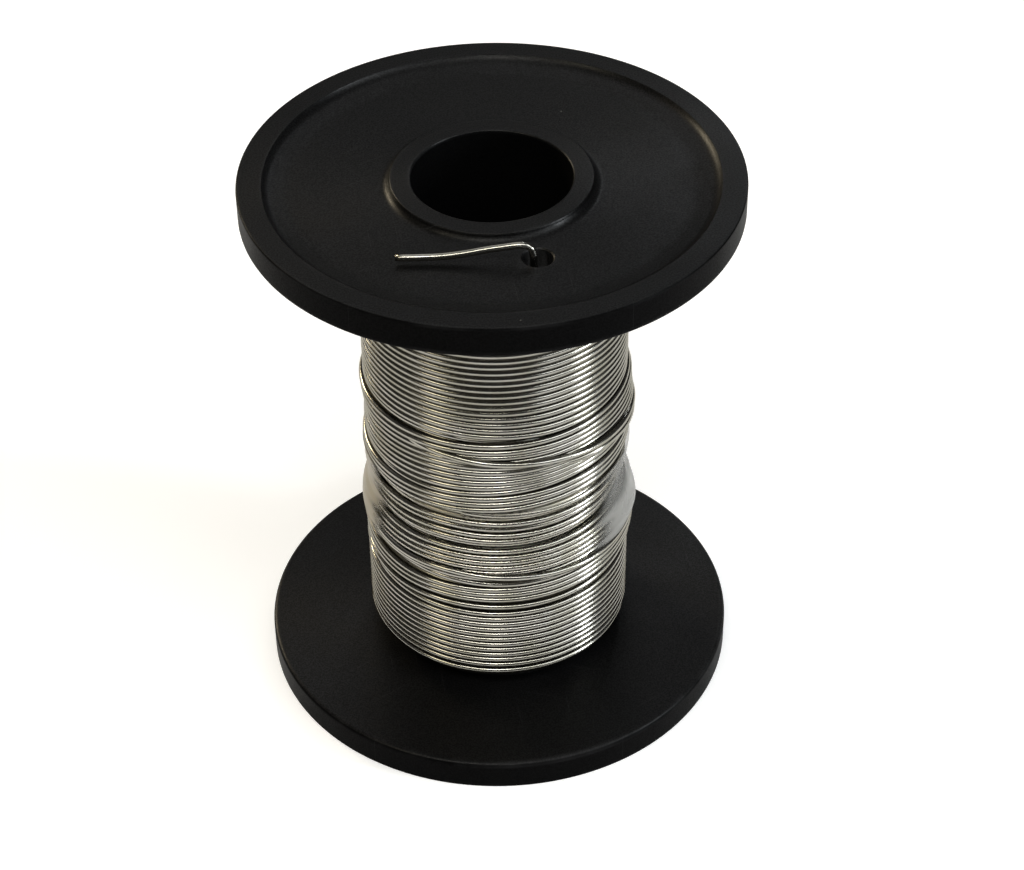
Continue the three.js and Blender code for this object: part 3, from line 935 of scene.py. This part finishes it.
def makeTape(shape):
    # radius from a profile of heights, moved by the side; the band's two edges wander
    around, across = shape["around"], shape["across"]
    degrees = -270 + np.linspace(0, 360, around, endpoint=False)
    angles = np.radians(degrees)
    low, high = (edge + size * wander(angles, seed, pace)
                 for edge, (size, seed, pace) in zip(shape["edges"], shape["edgeWander"]))
    droop = shape["droop"]
    low -= droop["depth"] * bell(degrees, droop["azimuth"], droop["width"])
    height = low[:, None] + (high - low)[:, None] * np.linspace(0, 1, across)
    profile = np.array(shape["profile"])
    radius = np.interp(height, profile[:, 0], profile[:, 1])
    side = np.repeat(degrees[:, None], across, 1)
    for azimuth, width, middle, spread, out in shape["pulls"]:
        radius += out * bell(side, azimuth, width) * bell(height, middle, spread)
    flap, ripple = shape["flap"], shape["ripple"]
    below = rising(-height, -flap["top"], flap["ease"])
    belly = flap["out"] + flap["belly"] * bell(height, flap["bellyHeight"], flap["bellySpread"])
    radius += belly * below * bell(side, flap["azimuth"], flap["width"])
    wave = np.sin(side * ripple["around"] + height * ripple["up"])
    radius += ripple["size"] * wave * bell(side, ripple["azimuth"], ripple["width"])
    ragged = side + sum(size * np.sin(height * pace + phase)
                        for size, pace, phase in shape["ragged"])
    # the painted milky sheen where the film stands off: on the right, weaker above the step, and on
    # the left
    onRight = between(ragged, side, shape["rightLoose"])
    onLeft = between(side, ragged, shape["leftLoose"])
    upper = shape["upperShare"]
    standOffSheen = np.clip(onRight * (upper + (1 - upper) * below) + onLeft, 0, 1)

    def place(radii):
        return np.stack([
            radii * np.cos(angles)[:, None], radii * np.sin(angles)[:, None], height], -1)

    outer, inner = place(radius), place(radius - shape["thickness"])
    grid = np.concatenate([outer, inner[:, ::-1]], 1) * mm
    lifts = np.concatenate([standOffSheen, standOffSheen[:, ::-1]], 1)
    warm = np.concatenate([onLeft, onLeft[:, ::-1]], 1)
    piece = gridObject("tapeBand", grid, tapeFilm, wrapRows=True,
                       shares={"standOffSheen": lifts, "warm": warm}, sharpAngle=shape["sharpAngle"])
    piece.data.flip_normals()
    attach(piece, "root")
    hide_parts("clear_tape")


makeTape(tapeShape)
print("tape made")


# stage and lights
stageSettings = {
    "floorSize": 6.0,
    "floorColor": (0.86, 0.86, 0.86),
    "floorGlow": 0.42,
    "farGlow": 0.58,         # added beyond the lamps' reach
    "farFrom": (0.2, 0.9),   # metres from the axis over which it comes in
    "skyLow": 0.06,
    "skyHigh": 0.05,
}

# azimuth and elevation of each lamp in degrees, distance and size in metres
lamps = {
    "windowLamp": {"azimuth": -17.5, "elevation": 15, "distance": 0.9, "size": (0.13, 0.26),
                   "color": (0.9, 0.96, 1.0), "watts": 3.8},
    "windowGlow": {"azimuth": -28, "elevation": 40, "distance": 0.95, "size": (0.6, 0.4),
                   "color": (0.95, 0.98, 1.0), "watts": 2.3},
    "frontFill": {"azimuth": -72, "elevation": 58, "distance": 0.9, "size": (0.5, 0.14),
                  "color": (0.98, 0.98, 0.96), "watts": 1.4},
    "frontLamp": {"azimuth": -108, "elevation": 58, "distance": 0.9, "size": (0.42, 0.14),
                  "color": (1.0, 0.97, 0.9), "watts": 1.75},
    "roomLamp": {"azimuth": -143, "elevation": 42, "distance": 0.9, "size": (0.26, 0.3),
                 "color": (1.0, 0.91, 0.7), "watts": 1.1},
    "warmLamp": {"azimuth": 136, "elevation": 22, "distance": 0.9, "size": (0.2, 0.2),
                 "color": (1.0, 0.85, 0.6), "watts": 3.0},
    "coolLamp": {"azimuth": 76, "elevation": 33, "distance": 0.9, "size": (0.08, 0.09),
                 "color": (0.93, 0.97, 1.0), "watts": 0.22},
    "backLamp": {"azimuth": 110, "elevation": 50, "distance": 0.9, "size": (0.7, 0.4),
                 "color": (1.0, 1.0, 1.0), "watts": 0.65},
    "overheadLamp": {"azimuth": 60, "elevation": 84, "distance": 1.1, "size": (0.7, 0.7),
                     "color": (1.0, 0.99, 0.97), "watts": 1.0},
}


def makeStage(settings):
    half = settings["floorSize"] / 2
    corners = np.array([
        [[-half, -half, 0], [-half, half, 0]], [[half, -half, 0], [half, half, 0]]], float)
    material, tree, shader = newMaterial("floor", Roughness=0.9, Specular_IOR_Level=0.0)
    shader.inputs["Base Color"].default_value = (*settings["floorColor"], 1)
    # the glow shows to the eye and in reflections but lights nothing, so the shadow stays
    path = addNode(tree, "ShaderNodeLightPath").outputs
    seen = mathNode(tree, "MAXIMUM", path["Is Camera Ray"], path["Is Glossy Ray"])
    seen = mathNode(tree, "MAXIMUM", seen, path["Is Transmission Ray"])
    shader.inputs["Emission Color"].default_value = (1, 1, 1, 1)
    glow = mathNode(tree, "MULTIPLY", seen, settings["floorGlow"])
    # the far floor lies beyond the lamps, so a further glow, for the eye alone, makes it white
    place = addNode(tree, "ShaderNodeTexCoord").outputs["Object"]
    away = addNode(tree, "ShaderNodeVectorMath", {0: place}, operation="LENGTH").outputs["Value"]
    far = rampNode(tree, away, *settings["farFrom"], 0.0, settings["farGlow"])
    total = mathNode(tree, "MULTIPLY_ADD", path["Is Camera Ray"], far, glow)
    tree.links.new(total, shader.inputs["Emission Strength"])
    floor = gridObject("floor", corners, material, wrapColumns=False)
    floor.data.flip_normals()


def makeSky(settings):
    # white to the eye alone; what lights the object and what it reflects is dim,
    # a shade paler near the horizon
    world = bpy.data.worlds.new("studio")
    scene.world = world
    world.use_nodes = True
    tree = world.node_tree
    direction = addNode(tree, "ShaderNodeTexCoord").outputs["Generated"]
    rise = addNode(tree, "ShaderNodeSeparateXYZ", {0: direction}).outputs["Z"]
    level = rampNode(tree, rise, 0.1, 0.42, settings["skyLow"], settings["skyHigh"])
    shade = tree.nodes["Background"]
    shade.inputs["Color"].default_value = (1, 1, 1, 1)
    eye = addNode(tree, "ShaderNodeLightPath").outputs["Is Camera Ray"]
    tree.links.new(mathNode(tree, "MAXIMUM", level, eye), shade.inputs["Strength"])


def makeLamp(name, settings):
    data = bpy.data.lights.new(name, "AREA")
    data.shape = "RECTANGLE"
    data.size, data.size_y = settings["size"]
    data.color = settings["color"]
    data.energy = settings["watts"]
    azimuth, elevation = math.radians(settings["azimuth"]), math.radians(settings["elevation"])
    target = Vector((0, 0, 0.03))
    toLamp = Vector((
        math.cos(azimuth) * math.cos(elevation), math.sin(azimuth) * math.cos(elevation),
        math.sin(elevation)))
    lamp = bpy.data.objects.new(name, data)
    lamp.location = target + toLamp * settings["distance"]
    lamp.rotation_euler = toLamp.to_track_quat("Z", "Y").to_euler()
    scene.collection.objects.link(lamp)


makeStage(stageSettings)
makeSky(stageSettings)
for lampName, lampSettings in lamps.items():
    makeLamp(lampName, lampSettings)
scene.view_settings.view_transform = "Standard"
print("stage lit")
